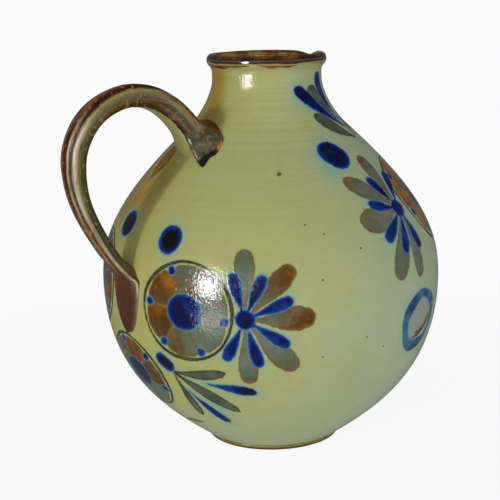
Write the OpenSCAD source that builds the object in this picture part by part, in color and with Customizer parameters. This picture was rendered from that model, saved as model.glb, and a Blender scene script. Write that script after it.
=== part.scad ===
// Stoneware crock jug: a round thrown body on a low foot, a short narrow neck with a rolled
// rim and a pinched pouring lip, and a pulled strap handle luted to the shoulder and the belly.
// The origin is on the jug's axis, in the plane that the foot stands on. The handle reaches
// toward -X and the lip pours toward +X. Lengths are in millimetres, angles in degrees.

/* [Foot] */
// Radius of the foot, outside
foot_r = 41.5; // [38:0.5:46]
// Height of the foot ring
foot_h = 3; // [2.5:0.5:5]
// Width of the ring that the jug stands on
foot_w = 8.5; // [6:0.5:12]
// Rounding of the foot's outer edge
foot_round = 2.5; // [1:0.5:2.5]
// Thickness of the floor
floor_t = 8; // [6:0.5:11]

/* [Body] */
// Radius of the belly at its widest
belly_r = 104.5; // [95:0.5:112]
// Height of the belly's widest place
belly_z = 104.5; // [98:0.5:110]
// Slope of the wall where it leaves the foot, from the level
foot_slope = 34; // [26:1:42]
// Thickness of the wall at the belly
belly_wall = 6.5; // [4.5:0.5:8]
// Radius of the body where the neck begins
shoulder_r = 48; // [45:0.5:51]
// Height where the neck begins, measured down from the top of the jug
shoulder_z = 43.5; // [40:0.5:48]
// Slope of the wall where the neck begins, from the level
shoulder_slope = 43; // [38:1:48]
// Thickness of the wall where the neck begins
shoulder_wall = 5.5; // [4:0.5:7]

/* [Neck and rim] */
// Radius of the neck at its narrowest
neck_r = 33.4; // [31:0.2:36]
// Height where the neck becomes narrowest, measured down from the top of the jug
neck_z = 15.5; // [14:0.5:19]
// Thickness of the neck's wall
neck_wall = 4.5; // [3.5:0.5:6]
// Height of the whole jug, to the top of the rim
jug_h = 240; // [238:0.5:246]
// Height of the rolled rim
rim_h = 11; // [9:0.5:12]
// How far the rolled rim stands out past the neck
rim_out = 3.1; // [2:0.1:4]
// How far the pouring lip dips below the rim
lip_dip = 2.2; // [0.5:0.1:3]
// How far the pouring lip is pushed outward
lip_out = 1.8; // [0:0.1:3]
// Width of the pouring lip, along the rim
lip_w = 14; // [10:1:22]

/* [Handle] */
// How far the handle's middle line stands out past the belly at its farthest
reach = 33.4; // [28:0.2:38]
// Height of the handle's middle line at its top, above where the neck begins
rise = 24.8; // [20:0.2:28]
// Distance from the jug's axis to the top of the handle's middle line
top_r = 103; // [98:0.5:108]
// Height of the handle's farthest place, below where the neck begins
drop = 10; // [6:0.5:16]
// Width of the handle at the shoulder, at its top, at its farthest place and at the belly
strap_w = [22, 19.4, 16.8, 14]; // [10:0.2:26]
// Thickness of the handle at the same four places
strap_t = [16.4, 13, 12.2, 8.2]; // [6:0.2:20]
// Depth of the two grooves along the outer face
groove_d = 1.3; // [0:0.1:1.8]
// Depth of the groove along each side
side_groove_d = 0.6; // [0:0.1:1]
// Distance of the upper end from the jug's middle plane, to one side
root_lean = 3.8; // [0:0.1:6]
// Distance of the lower end from the same plane, to the other side
tongue_lean = 7.3; // [0:0.1:10]
// Height of the handle's upper end on the wall, below where the neck begins
root_drop = 8.5; // [6:0.5:14]

/* [Joints of the handle] */
// Width of the clay collar around the upper end, past the strap, on each side
collar_w = 5.8; // [3:0.2:7]
// Rise of the same collar up the neck, past the strap
collar_up = 15.4; // [10:0.2:18]
// Sweep of the same collar down the near side of the shoulder, past the strap
collar_down = 6.6; // [4:0.2:9]
// Width of the thumbed tongue at the lower end
tongue_w = 28; // [22:0.5:32]
// Length of the tongue down the belly, from the end of the strap
tongue_l = 34; // [28:0.5:40]
// Thickness of the tongue along its raised edge
tongue_t = 4.6; // [3:0.2:6]
// Depth of the thumbed hollow along the tongue
tongue_hollow = 1.8; // [0.6:0.2:2.2]

/* [Hidden] */
$fn = 180;

// Heights above the base where the neck begins, where it is narrowest and where the rim sits
shoulder_at = jug_h - shoulder_z;
neck_at = jug_h - neck_z;
rim_seat_z = jug_h - rim_h;

// Where the wall lines bend, as shares of the heights and widths that they span
low_pull_share = 0.395;
low_belly_share = 0.54;
up_belly_share = 0.305;
up_shoulder_share = 0.765;
neck_low_share = 0.38;
neck_high_share = 0.26;
// Steps along each of the three wall lines
low_steps = 26;
up_steps = 24;
neck_steps = 12;

// A point on a curve drawn by four guide points, and its direction there
function curve_at(p, t) =
    pow(1 - t, 3) * p[0] + 3 * t * pow(1 - t, 2) * p[1] + 3 * t * t * (1 - t) * p[2]
    + pow(t, 3) * p[3];
function unit(v) = v / norm(v);
function curve_dir(p, t) =
    unit(pow(1 - t, 2) * (p[1] - p[0]) + 2 * t * (1 - t) * (p[2] - p[1])
         + t * t * (p[3] - p[2]));
function toward(angle) = [cos(angle), sin(angle)];
half_turn_angle = 180;
full_turn_angle = 360;

// The share along a rising curve where it reaches a height, halved in on
function share_at(p, z, low = 0, high = 1, halvings = 24) =
    let (mid = (low + high) / 2)
    halvings == 0 ? mid
                  : curve_at(p, mid)[1] < z ? share_at(p, z, mid, high, halvings - 1)
                                            : share_at(p, z, low, mid, halvings - 1);

// The outside of the wall in three lines, from the foot to the belly, the shoulder and the neck
low_line = [
    [foot_r, foot_h],
    [foot_r, foot_h] + low_pull_share * (belly_z - foot_h) * toward(foot_slope),
    [belly_r, belly_z - low_belly_share * (belly_z - foot_h)],
    [belly_r, belly_z]];
up_line = [
    [belly_r, belly_z],
    [belly_r, belly_z + up_belly_share * (shoulder_at - belly_z)],
    [shoulder_r, shoulder_at]
        - up_shoulder_share * (belly_r - shoulder_r) / cos(shoulder_slope)
          * toward(half_turn_angle - shoulder_slope),
    [shoulder_r, shoulder_at]];
neck_line = [
    [shoulder_r, shoulder_at],
    [shoulder_r, shoulder_at]
        + neck_low_share * (neck_at - shoulder_at) * toward(half_turn_angle - shoulder_slope),
    [neck_r, neck_at - neck_high_share * (neck_at - shoulder_at)],
    [neck_r, neck_at]];

// The outer points of a wall line, and the inner ones, one thickness inside
function outer_points(line, steps) = [for (i = [0:steps]) curve_at(line, i / steps)];
function inner_at(line, t, thick) =
    let (d = curve_dir(line, t)) curve_at(line, t) - thick * [d[1], -d[0]];
function inner_points(line, steps, thick_low, thick_high) =
    [for (i = [0:steps])
        inner_at(line, i / steps, thick_low + (thick_high - thick_low) * i / steps)];
function reversed(list) = [for (i = [len(list) - 1:-1:0]) list[i]];

// Foot
foot_in_r = foot_r - foot_w;
foot_edge = min(foot_round, foot_h);
foot_edge_steps = 8;

module foot_ring() {
    edge = [for (i = [0:foot_edge_steps])
        [foot_r - foot_edge, foot_edge] + foot_edge * toward(-90 + 90 * i / foot_edge_steps)];
    color([0.42, 0.30, 0.19])
        rotate_extrude()
            polygon(concat([[foot_in_r, foot_h], [foot_in_r, 0]], edge, [[foot_r, foot_h]]));
}

// Lower half of the body, with the floor
floor_top = foot_h + floor_t;

module belly() {
    inner = [for (p = inner_points(low_line, low_steps, belly_wall, belly_wall))
        if (p[1] > floor_top + belly_wall / 2) p];
    corner = inner[0] - [belly_wall, inner[0][1] - floor_top];
    color([0.60, 0.61, 0.42])
        rotate_extrude()
            polygon(concat([[0, foot_h]], outer_points(low_line, low_steps),
                           reversed(inner), [corner, [0, floor_top]]));
}

// Upper half of the body
module shoulder() {
    color([0.64, 0.65, 0.46])
        rotate_extrude()
            polygon(concat(outer_points(up_line, up_steps),
                           reversed(inner_points(up_line, up_steps, belly_wall, shoulder_wall))));
}

// Neck, straight above its narrowest place, up to the seat of the rim
neck_in_r = neck_r - neck_wall;

module neck() {
    color([0.58, 0.55, 0.30])
        rotate_extrude()
            polygon(concat(outer_points(neck_line, neck_steps),
                           [[neck_r, rim_seat_z], [neck_in_r, rim_seat_z]],
                           reversed(inner_points(neck_line, neck_steps, shoulder_wall, neck_wall))));
}

// Rim: one closed section swept round, dipped and pushed outward at the lip
rim_r = neck_r + rim_out;
rim_turns = 120;
rim_side_steps = 6;
rim_roll_steps = 9;
// Height of the rim's widest and of its inner shoulder, as shares of the rim's height
rim_wide_share = 0.66;
rim_inner_share = 0.6;
// Thickness of the roll where it is widest, as a share of the neck's wall and the overhang
roll_share = 0.8;
roll_w = roll_share * (neck_wall + rim_out);
rim_wide_z = rim_seat_z + rim_wide_share * rim_h;
rim_inner_z = rim_seat_z + rim_inner_share * rim_h;

rim_outer_line = [
    [neck_r, rim_seat_z], [neck_r, (rim_seat_z + rim_wide_z) / 2],
    [rim_r, (rim_seat_z + rim_wide_z) / 2], [rim_r, rim_wide_z]];
rim_inner_line = [
    [rim_r - roll_w, rim_inner_z], [rim_r - roll_w, (rim_seat_z + rim_inner_z) / 2],
    [neck_in_r, (rim_seat_z + rim_inner_z) / 2], [neck_in_r, rim_seat_z]];
rim_roll = [for (i = [1:rim_roll_steps - 1])
    let (a = half_turn_angle * i / rim_roll_steps,
         low = rim_wide_z + (rim_inner_z - rim_wide_z) * i / rim_roll_steps)
    [rim_r - roll_w / 2 + roll_w / 2 * cos(a), low + (jug_h - low) * sin(a)]];
rim_section = concat(outer_points(rim_outer_line, rim_side_steps), rim_roll,
                     outer_points(rim_inner_line, rim_side_steps));

// How strongly the lip acts at an angle from +X, and at a height on the rim
lip_angle = lip_w / rim_r * half_turn_angle / PI;
function lip_pull(angle) = exp(-pow(angle / (lip_angle / 2), 2));
function lip_spread(angle) = exp(-pow(angle / lip_angle, 2));
function rim_lift(z) = pow((z - rim_seat_z) / rim_h, 2);
function signed_angle(turn) = turn > half_turn_angle ? turn - full_turn_angle : turn;
function rim_point(p, turn) =
    let (a = signed_angle(turn),
         r = p[0] + lip_out * rim_lift(p[1]) * lip_spread(a),
         z = p[1] - lip_dip * rim_lift(p[1]) * lip_pull(a))
    [r * cos(turn), r * sin(turn), z];

// Joins closed rows of points, each the same length, into the faces between them
function band(rows, row_len, closed) =
    [for (i = [0:rows - (closed ? 1 : 2)], j = [0:row_len - 1], half = [0, 1])
        let (a = i * row_len + j,
             b = i * row_len + (j + 1) % row_len,
             c = ((i + 1) % rows) * row_len + (j + 1) % row_len,
             d = ((i + 1) % rows) * row_len + j)
        half == 0 ? [a, b, c] : [a, c, d]];

module rim() {
    color([0.33, 0.20, 0.10])
        polyhedron([for (i = [0:rim_turns - 1], p = rim_section)
                       rim_point(p, full_turn_angle * i / rim_turns)],
                   band(rim_turns, len(rim_section), true));
}

// Handle: its middle line in the plane of the handle, as distance from the axis and height
root_sink = 3;
root_angle = 45;
strap_end_angle = 51.6;
// Height of the strap's end above the belly's widest place
strap_end_up = 12.2;
// Lengths of the middle line's guides, as shares of the spans between its four places
guide_share = [0.23, 0.644, 0.514, 0.548, 0.206, 0.651];

root_at = inner_at(up_line, share_at(up_line, shoulder_at - root_drop), root_sink);
top_at = [top_r, shoulder_at + rise];
far_at = [belly_r + reach, shoulder_at - drop];
end_at = [belly_r, belly_z + strap_end_up];
end_guide = guide_share[5] * (far_at[1] - end_at[1]) * toward(strap_end_angle);

climb_line = [
    root_at, root_at + guide_share[0] * (top_at[1] - root_at[1]) * toward(root_angle),
    top_at - [guide_share[1] * (top_at[0] - root_at[0]), 0], top_at];
over_line = [
    top_at, top_at + [guide_share[2] * (far_at[0] - top_at[0]), 0],
    far_at + [0, guide_share[3] * (top_at[1] - far_at[1])], far_at];
down_line = [far_at, far_at - [0, guide_share[4] * (far_at[1] - end_at[1])], end_at + end_guide,
             end_at];
strap_lines = [climb_line, over_line, down_line];

// A place along the middle line is a number from 0 at the shoulder to 3 at the belly
function leg(q) = min(floor(q), 2);
function line_at(q) = curve_at(strap_lines[leg(q)], q - leg(q));
function line_dir(q) = curve_dir(strap_lines[leg(q)], q - leg(q));
function between(list, q) = list[leg(q)] + (list[leg(q) + 1] - list[leg(q)]) * (q - leg(q));
root_lean_angle = asin(root_lean / root_at[0]);
tongue_lean_angle = asin(tongue_lean / end_at[0]);
function lean_at(q) = root_lean_angle - (root_lean_angle + tongue_lean_angle) * q / 3;

// Outline of the handle across its length: a soft oval with grooves, as sideways and outward
sides = 40;
oval_share = 0.8;
groove_angles = [62, 118];
groove_spread_angle = 13;
side_groove_angle = 16;
function soft(c) = sign(c) * pow(abs(c), oval_share);
function dent(angle, at, spread) = exp(-pow((angle - at) / spread, 2));
function groove_at(angle) =
    groove_d * (dent(angle, groove_angles[0], groove_spread_angle)
                + dent(angle, groove_angles[1], groove_spread_angle))
    + side_groove_d * (dent(angle, 0, side_groove_angle)
                       + dent(angle, half_turn_angle, side_groove_angle)
                       + dent(angle, full_turn_angle, side_groove_angle));
function outline(half_w, out_t, in_t, groove_share) =
    [for (i = [0:sides - 1])
        let (a = full_turn_angle * i / sides,
             p = [half_w * soft(cos(a)), (sin(a) > 0 ? out_t : in_t) * soft(sin(a))])
        p - groove_share * groove_at(a) * toward(a)];

// One ring of points: an outline set square to the middle line, turned about the jug's axis
function ring_at(middle, dir, lean, shape) =
    [for (p = shape)
        let (r = middle[0] - dir[1] * p[1])
        [-r * cos(lean) - p[0] * sin(lean), -r * sin(lean) + p[0] * cos(lean),
         middle[1] + dir[0] * p[1]]];

// Closes both ends of a tube of rings
function lids(rows, row_len) =
    [[for (j = [row_len - 1:-1:0]) j], [for (j = [0:row_len - 1]) (rows - 1) * row_len + j]];

// Draws a tube through rings of points
module tube(rings) {
    rows = len(rings);
    row_len = len(rings[0]);
    polyhedron([for (ring = rings, p = ring) p],
               concat(band(rows, row_len, false), lids(rows, row_len)), convexity = 6);
}

// Everything inside the outer surface of the wall
module wall_core() {
    rotate_extrude()
        polygon(concat([[0, foot_h]], outer_points(low_line, low_steps),
                       outer_points(up_line, up_steps), outer_points(neck_line, neck_steps),
                       [[0, neck_at]]));
}

// Where the strap leaves the collar, and where it runs into the tongue, along the middle line
strap_from_share = 0.42;
strap_to_share = 2.88;
collar_steps = 12;
strap_steps = 54;
lead_steps = 5;
leaf_steps = 17;

function smooth(x) = x * x * (3 - 2 * x);
function strap_ring(q) =
    let (half_t = between(strap_t, q) / 2)
    ring_at(line_at(q), line_dir(q), lean_at(q), outline(between(strap_w, q) / 2, half_t, half_t, 1));

// Collar: the strap's end, spread over the shoulder and up the neck into a soft roll. It is
// full where the middle line passes the wall, at a share of the way to the strap. One bell of
// clay is drawn up the neck as a crown, and one down the near side as a tail.
wall_share = 0.3;
even_share = 0.38;
crown_angle = 70;
crown_spread_angle = 30;
tail_angle = 240;
tail_spread_angle = 13;
function spread_at(q) = smooth(min((1 - q / strap_from_share) / (1 - wall_share), 1));
function collar_push(angle) =
    (1 - even_share) * collar_up * dent(angle, crown_angle, crown_spread_angle)
    + collar_down * dent(angle, tail_angle, tail_spread_angle);
function collar_ring(q) =
    let (half_w = between(strap_w, q) / 2,
         half_t = between(strap_t, q) / 2,
         spread = spread_at(q),
         wide = outline(half_w + collar_w * spread, half_t + even_share * collar_up * spread,
                        half_t, 1 - spread))
    ring_at(line_at(q), line_dir(q), lean_at(q),
            [for (i = [0:sides - 1])
                let (a = full_turn_angle * i / sides)
                wide[i] + spread * collar_push(a) * toward(a)]);

module handle_collar() {
    color([0.36, 0.22, 0.13])
        difference() {
            tube([for (i = [0:collar_steps]) collar_ring(strap_from_share * i / collar_steps)]);
            wall_core();
        }
}

module handle_strap() {
    color([0.45, 0.36, 0.22])
        tube([for (i = [0:strap_steps])
            strap_ring(strap_from_share + (strap_to_share - strap_from_share) * i / strap_steps)]);
}

// Tongue: the strap's lower end, thumbed down the belly into a hollow leaf
tip_share = share_at(low_line, end_at[1] - tongue_l);
tip_at = curve_at(low_line, tip_share);
tip_dir = -curve_dir(low_line, tip_share);
bend_guide_share = 0.08;
tip_guide_share = 0.5;
leaf_line = [
    end_at, end_at - bend_guide_share * tongue_l * toward(strap_end_angle),
    tip_at - tip_guide_share * tongue_l * tip_dir, tip_at];

// The leaf widens over this share of the tongue, and narrows to its tip
widen_share = 0.42;
function leaf_w(t) = sqrt(max(1 - pow(t, 3), 0));

// Outline of the tongue at a step and a share of the leaf's length: raised edges, hollow between
function tongue_shape(step, t) =
    let (grow = smooth(min(step / (lead_steps + leaf_steps) / widen_share, 1)),
         full_w = strap_w[3] * (1 - grow) + tongue_w * grow,
         half_w = max(full_w / 2 * leaf_w(t), tongue_t / 4),
         out_t = strap_t[3] / 2 * (1 - t) + tongue_t / 2 * t)
    [for (p = outline(half_w, out_t, strap_t[3] / 2 * (1 + grow), 1 - grow))
        let (hollow = tongue_hollow * grow * leaf_w(t) * (1 - pow(p[0] / half_w, 2)),
             wrap = grow * p[0] * p[0] / (2 * belly_r))
        p[1] < 0 ? p : [p[0], p[1] - hollow - wrap]];

module handle_tongue() {
    lead = [for (i = [0:lead_steps])
        let (q = strap_to_share + (3 - strap_to_share) * i / lead_steps)
        ring_at(line_at(q), line_dir(q), lean_at(q), tongue_shape(i, 0))];
    leaf = [for (i = [1:leaf_steps])
        let (t = i / leaf_steps)
        ring_at(curve_at(leaf_line, t), curve_dir(leaf_line, t), -tongue_lean_angle,
                tongue_shape(lead_steps + i, t))];
    color([0.30, 0.15, 0.08])
        difference() {
            tube(concat(lead, leaf));
            wall_core();
        }
}

foot_ring();
belly();
shoulder();
neck();
rim();
handle_collar();
handle_strap();
handle_tongue();
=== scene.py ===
# %% [markdown]
# # A stoneware crock jug
# The jug is thrown from one lump of clay, gets a pulled handle, is painted with folk flowers in
# cobalt blue, iron brown and grey-green, and is then glazed and fired. This lesson dresses the
# plain solids of the CAD model in the same order: clay wall, rim, handle, painting, glaze.
#
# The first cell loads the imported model. It is the fixed frame, and everything else is set
# against it, in metres, with the origin in the middle of the foot and Z upwards.

import math
from functools import partialmethod

import bpy
import numpy as np
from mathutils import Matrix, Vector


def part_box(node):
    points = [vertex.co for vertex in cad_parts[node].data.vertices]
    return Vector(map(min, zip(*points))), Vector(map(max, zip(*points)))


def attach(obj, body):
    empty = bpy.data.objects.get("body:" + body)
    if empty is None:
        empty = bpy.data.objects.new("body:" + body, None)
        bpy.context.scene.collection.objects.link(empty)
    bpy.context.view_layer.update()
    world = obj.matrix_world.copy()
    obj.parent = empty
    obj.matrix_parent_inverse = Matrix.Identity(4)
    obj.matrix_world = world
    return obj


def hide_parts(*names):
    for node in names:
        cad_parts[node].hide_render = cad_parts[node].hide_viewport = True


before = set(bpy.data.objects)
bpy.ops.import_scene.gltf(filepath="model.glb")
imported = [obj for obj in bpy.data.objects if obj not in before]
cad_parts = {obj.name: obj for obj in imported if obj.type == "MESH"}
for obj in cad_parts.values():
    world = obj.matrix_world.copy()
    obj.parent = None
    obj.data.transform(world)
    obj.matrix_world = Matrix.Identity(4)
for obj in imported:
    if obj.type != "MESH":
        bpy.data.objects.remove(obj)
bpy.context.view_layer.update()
print("solids:", ", ".join(sorted(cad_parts)))

# %% [markdown]
# The sizes come from the solids where these show them, so the painted wall lies on the solid
# wall. What a box can't tell, such as a slope or the pull of a curve, is named here once.

# %% Sizes of the jug
MM = 0.001


def box_top(node):
    """Highest corner of a solid's box."""
    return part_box(node)[1]


foot_r, foot_h = box_top("foot_ring").x, box_top("foot_ring").z
foot_w, foot_round = 8.5 * MM, 2.5 * MM
floor_top = foot_h + 8 * MM
belly_r, belly_z = box_top("belly").x, box_top("belly").z
belly_wall, shoulder_wall, neck_wall = 6.5 * MM, 5.5 * MM, 4.5 * MM
shoulder_r, shoulder_z = box_top("neck").x, box_top("shoulder").z
rim_seat_z, rim_r, jug_h = box_top("neck").z, box_top("rim").y, box_top("rim").z
neck_r, neck_z = rim_r - 3.1 * MM, 224.5 * MM
foot_slope, shoulder_slope = math.radians(34), math.radians(43)
low_pulls, up_pulls, neck_pulls = (0.395, 0.54), (0.305, 0.765), (0.38, 0.26)
print(f"foot {foot_r:.4f}, belly {belly_r:.4f} at {belly_z:.4f},",
      f"shoulder {shoulder_r:.4f} at {shoulder_z:.4f}")
print(f"rim {rim_r:.4f}, jug {jug_h:.4f} m high")

# %% [markdown]
# A thrown wall is a curve turned about the axis. Each of its three curves has four guide points:
# the curve leaves the first towards the second, and reaches the last from the third. The pulls
# say how far the middle two lie from the ends, as shares of the curve's height or width.


# %% Curves of the wall
def toward(angle):
    """Unit vector at an angle from the level: its cosine outward, its sine up."""
    return np.array([math.cos(angle), math.sin(angle)])


def column(guides, t):
    """The times as a column, and the four guide points as arrays."""
    return (np.asarray(t, float)[:, None], *(np.asarray(guide, float) for guide in guides))


def curve(guides, t):
    """Cubic curve, one row a point. It adds the four guides, weighed by the cube of 1 - t, three
    times t times the square of 1 - t, three times t squared times 1 - t, and the cube of t."""
    t, a, b, c, d = column(guides, t)
    return (1 - t) ** 3 * a + 3 * t * (1 - t) ** 2 * b + 3 * t * t * (1 - t) * c + t**3 * d


def curve_direction(guides, t):
    """Unit direction of the curve: the steps from guide to guide, weighed by the square of 1 - t,
    twice t times 1 - t, and t squared, are added and divided by the length of the sum."""
    t, a, b, c, d = column(guides, t)
    way = (1 - t) ** 2 * (b - a) + 2 * t * (1 - t) * (c - b) + t * t * (d - c)
    return way / np.linalg.norm(way, axis=1)[:, None]


foot_edge = np.array([foot_r, foot_h])
belly_edge = np.array([belly_r, belly_z])
neck_start = np.array([shoulder_r, shoulder_z])
neck_narrow = np.array([neck_r, neck_z])
up = np.array([0, 1])
neck_way = toward(math.pi - shoulder_slope)

low_line = [foot_edge, foot_edge + low_pulls[0] * (belly_z - foot_h) * toward(foot_slope),
            belly_edge - low_pulls[1] * (belly_z - foot_h) * up, belly_edge]
up_line = [belly_edge, belly_edge + up_pulls[0] * (shoulder_z - belly_z) * up,
           neck_start - up_pulls[1] * (belly_r - shoulder_r) / math.cos(shoulder_slope) * neck_way,
           neck_start]
neck_line = [neck_start, neck_start + neck_pulls[0] * (neck_z - shoulder_z) * neck_way,
             neck_narrow - neck_pulls[1] * (neck_z - shoulder_z) * up, neck_narrow]


def wall_line(line, thick_low=0.0, thick_high=0.0, samples=600):
    """The line as (radius, height) points, moved inwards by a thickness that changes along it."""
    t = np.linspace(0, 1, samples)
    way = curve_direction(line, t)
    thick = thick_low + (thick_high - thick_low) * t
    return curve(line, t) - thick[:, None] * np.stack([way[:, 1], -way[:, 0]], 1)


def arc(points):
    """Length along a row of points, from the first."""
    steps = np.linalg.norm(np.diff(points, axis=0), axis=1)
    return np.concatenate([[0], np.cumsum(steps)])


def evenly(points, count):
    """The same path as count points that lie equally far apart along it."""
    length = arc(points)
    at = np.linspace(0, length[-1], count)
    return np.stack([np.interp(at, length, points[:, k]) for k in range(points.shape[1])], 1)


outer_wall = np.vstack([wall_line(low_line), wall_line(up_line)[1:], wall_line(neck_line)[1:],
                        [[neck_r, rim_seat_z]]])
outer_arc = arc(outer_wall)
print(f"the wall's outside is {outer_arc[-1]:.3f} m from the foot to the rim")

# %% [markdown]
# Every piece is a net of points with rows and columns. A small helper joins the net into faces,
# turns them outwards by the sign of the enclosed volume, and hands the piece to its CAD body.


# %% From a net of points to a piece
def net_faces(rows, cols, wrap_rows=False):
    """Four-cornered faces of a net whose columns run round. A point's number is its row times the
    number of columns, plus its column."""
    i = np.arange(rows if wrap_rows else rows - 1)[:, None]
    j = np.arange(cols)[None, :]
    below, above = i * cols, (i + 1) % rows * cols
    right = (j + 1) % cols
    return np.stack([below + j, below + right, above + right, above + j], -1).reshape(-1, 4)


def row_of(row, cols):
    """Numbers of the points in one row of a net."""
    return np.arange(cols) + row * cols


def fan(ring, tip):
    """Triangles between a ring of points and a single one."""
    return [(int(a), int(b), tip) for a, b in zip(ring, np.roll(ring, -1))]


def end_fans(rows, cols):
    """Fans over a net's first and last row. Their tips are the two points that follow the net's."""
    return fan(row_of(0, cols)[::-1], rows * cols) + fan(row_of(rows - 1, cols), rows * cols + 1)


def volume(points, faces):
    """Volume inside the faces: a sixth of the sum, over their triangles, of the first corner
    multiplied by the cross product of the other two."""
    total = 0.0
    for face in faces:
        face = np.atleast_2d(face)
        for k in range(1, face.shape[1] - 1):
            a, b, c = points[face[:, 0]], points[face[:, k]], points[face[:, k + 1]]
            total += np.einsum("ij,ij->", a, np.cross(b, c)) / 6
    return total


def new_object(name, data):
    """Puts a mesh, a lamp or a camera into the scene."""
    obj = bpy.data.objects.new(name, data)
    bpy.context.scene.collection.objects.link(obj)
    return obj


def make_piece(name, points, quads, closing=(), slot=None, replaces=(), fields=None,
               round_uv=None, flat=()):
    """Makes a smooth closed mesh, rides it on the jug's body and hides the solids that it replaces.
    The edges of the numbered flat faces stay crisp, so the shading doesn't bend round a joint."""
    skin = [quads, np.array(closing)] if len(closing) else [quads]
    if volume(points, skin) < 0:
        quads = quads[:, ::-1]
        closing = [tuple(reversed(face)) for face in closing]
        round_uv = None if round_uv is None else round_uv[:, ::-1]
    mesh = bpy.data.meshes.new(name)
    mesh.from_pydata(points.tolist(), [], quads.tolist() + [tuple(face) for face in closing])
    smooth = np.arange(len(mesh.polygons)) < len(quads)
    mesh.polygons.foreach_set("use_smooth", smooth)
    if len(flat):
        loop_edges = np.zeros(len(mesh.loops), np.int32)
        mesh.loops.foreach_get("edge_index", loop_edges)
        crisp = np.zeros(len(mesh.edges), bool)
        crisp[loop_edges[:quads.size].reshape(-1, 4)[flat]] = True
        mesh.attributes.new("sharp_edge", "BOOLEAN", "EDGE").data.foreach_set("value", crisp)
    for field, values in (fields or {}).items():
        values = values.astype(np.float32)
        mesh.attributes.new(field, "FLOAT", "POINT").data.foreach_set("value", values)
    if round_uv is not None:
        uv = np.zeros((len(mesh.loops), 2), np.float32)
        uv[:quads.size] = round_uv.reshape(-1, 2)
        mesh.uv_layers.new(name="strip").data.foreach_set("uv", uv.ravel())
    obj = new_object(name, mesh)
    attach(obj, "root")
    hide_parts(*replaces)
    print(f"{name}: {len(mesh.vertices)} points, {len(mesh.polygons)} faces")
    return obj


def full_turn(steps):
    """Angles of a full turn in equal steps."""
    return np.arange(steps) / steps * 2 * math.pi


def turned(section, turns):
    """Turns an outline (radius, height) about the axis, row by row: x is the radius times the
    cosine of the angle, y the radius times its sine, and the height stays."""
    angle = full_turn(turns)
    r, z = section[:, 0][:, None], section[:, 1][:, None]
    return np.stack([r * np.cos(angle), r * np.sin(angle), z + 0 * angle], -1)


# %% [markdown]
# The painter's brush works on the wall as on paper. A place on the wall is an angle round the jug
# and a length up its side, and near that place u runs to the right and v upwards, in
# millimetres. A stroke is a chain of short pieces whose half-width swells and tapers. For every
# point of the wall the nearest distance to the edge of a stroke is worked out, below zero
# inside it. That distance goes with the mesh, one field for each pigment, and the glaze later
# draws a crisp edge, a halo and a darker middle from it. No picture is needed.

# %% Strokes of the brush
PIGMENTS = ("cobalt", "iron", "green", "wash", "stain")
leaf_steps, leaf_start = 9, 0.16
strokes = []


def stroke(pigment, place, path, half_widths, tones=(0.0, 1.0)):
    """Notes a stroke about a place (degrees, millimetres up the wall): a path of (u, v) points, the
    half-width at each, and its tone at the start and end. The tone of iron is how brown it is, and
    that of cobalt how much pigment lies there."""
    strokes.append((pigment, place, np.array(path, float), np.array(half_widths, float), tones))


def leaf_widths(half_width, widest):
    """Half-widths of a leaf or petal: they swell with a power of a sine up to the widest share, and
    round off as a quarter of an ellipse to the tip."""
    h = np.linspace(0, 1, leaf_steps)
    grow = leaf_start + (1 - leaf_start) * np.sin(np.clip(h / widest, 0, 1) * math.pi / 2) ** 1.8
    close = np.sqrt(np.clip(1 - ((h - widest) / (1.0 - widest)) ** 2, 0, 1))
    return half_width * np.where(h < widest, grow, close)


def petal(pigment, place, start, tip, half_width, widest=0.75, bend=0.0, tones=(0.0, 1.0)):
    """A petal or leaf from start to tip, bent aside as a parabola, in the middle by a share of its
    length."""
    start, tip = np.array(start, float), np.array(tip, float)
    h = np.linspace(0, 1, leaf_steps)[:, None]
    side = np.array([start[1] - tip[1], tip[0] - start[0]])
    path = start + (tip - start) * h + side * bend * 4 * h * (1 - h)
    stroke(pigment, place, path, leaf_widths(half_width, widest), tones)


def at_angle(degrees, length):
    """Point (u, v) at an angle and a length from the middle of a flower."""
    return length * toward(math.radians(degrees))


def dot(pigment, place, length, half_width, lean=0.0, tones=(1.0, 1.0)):
    """A brush dot: an oval of a full length and a half-width, leaning by some degrees."""
    reach = at_angle(lean, max(length / 2 - half_width, 0.01))
    stroke(pigment, place, [-reach, reach], [half_width, half_width], tones)


def ring(pigment, place, radius, half_width, wobble=0.35, tones=(0.0, 0.0)):
    """A ring drawn with the wheel turning slowly. Its radius is uneven by sines of two and five
    times the angle, and its line swells with three times the angle."""
    a = np.linspace(0, 2 * math.pi, 41)
    r = radius + wobble * (np.sin(2 * a + 1) + 0.6 * np.sin(5 * a))
    stroke(pigment, place, np.stack([r * np.cos(a), r * np.sin(a)], 1),
           half_width * (1 + 0.22 * np.sin(3 * a + 0.6)), tones)


# %% [markdown]
# The flowers themselves are traditional ones: a daisy with brown and blue petals by turns, a
# ringed rosette with lobes and dots, leaf sprigs, and loose dots. Angles are given in degrees
# from the right and lengths in millimetres, read off the jug.


# %% Flowers of the folk painting
daisy_heart, rosette_heart, lobes = 5.8, 11.0, 6
ring_of_points = [(0, 11, 5.2), (15, 21.4, 5.5), (0, 22.3, 5.2), (-15, 21.4, 5.5), (0, 11, 5.2)]


def daisy(place, brown, blue):
    """A daisy. Brown petals are (degrees, length, half-width, brownness), blue ones (degrees,
    length)."""
    for degrees, length, half_width, brownness in brown:
        petal("iron", place, at_angle(degrees, 5), at_angle(degrees + 2, length), half_width, 0.74,
              tones=(brownness - 0.40, brownness + 0.20))
    for degrees, length in blue:
        petal("cobalt", place, at_angle(degrees, 4), at_angle(degrees - 2, length), 3.6, 0.76,
              tones=(0.0, 0.5))
    dot("cobalt", place, 2 * daisy_heart, daisy_heart - 0.4, tones=(0.45, 0.45))


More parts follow.
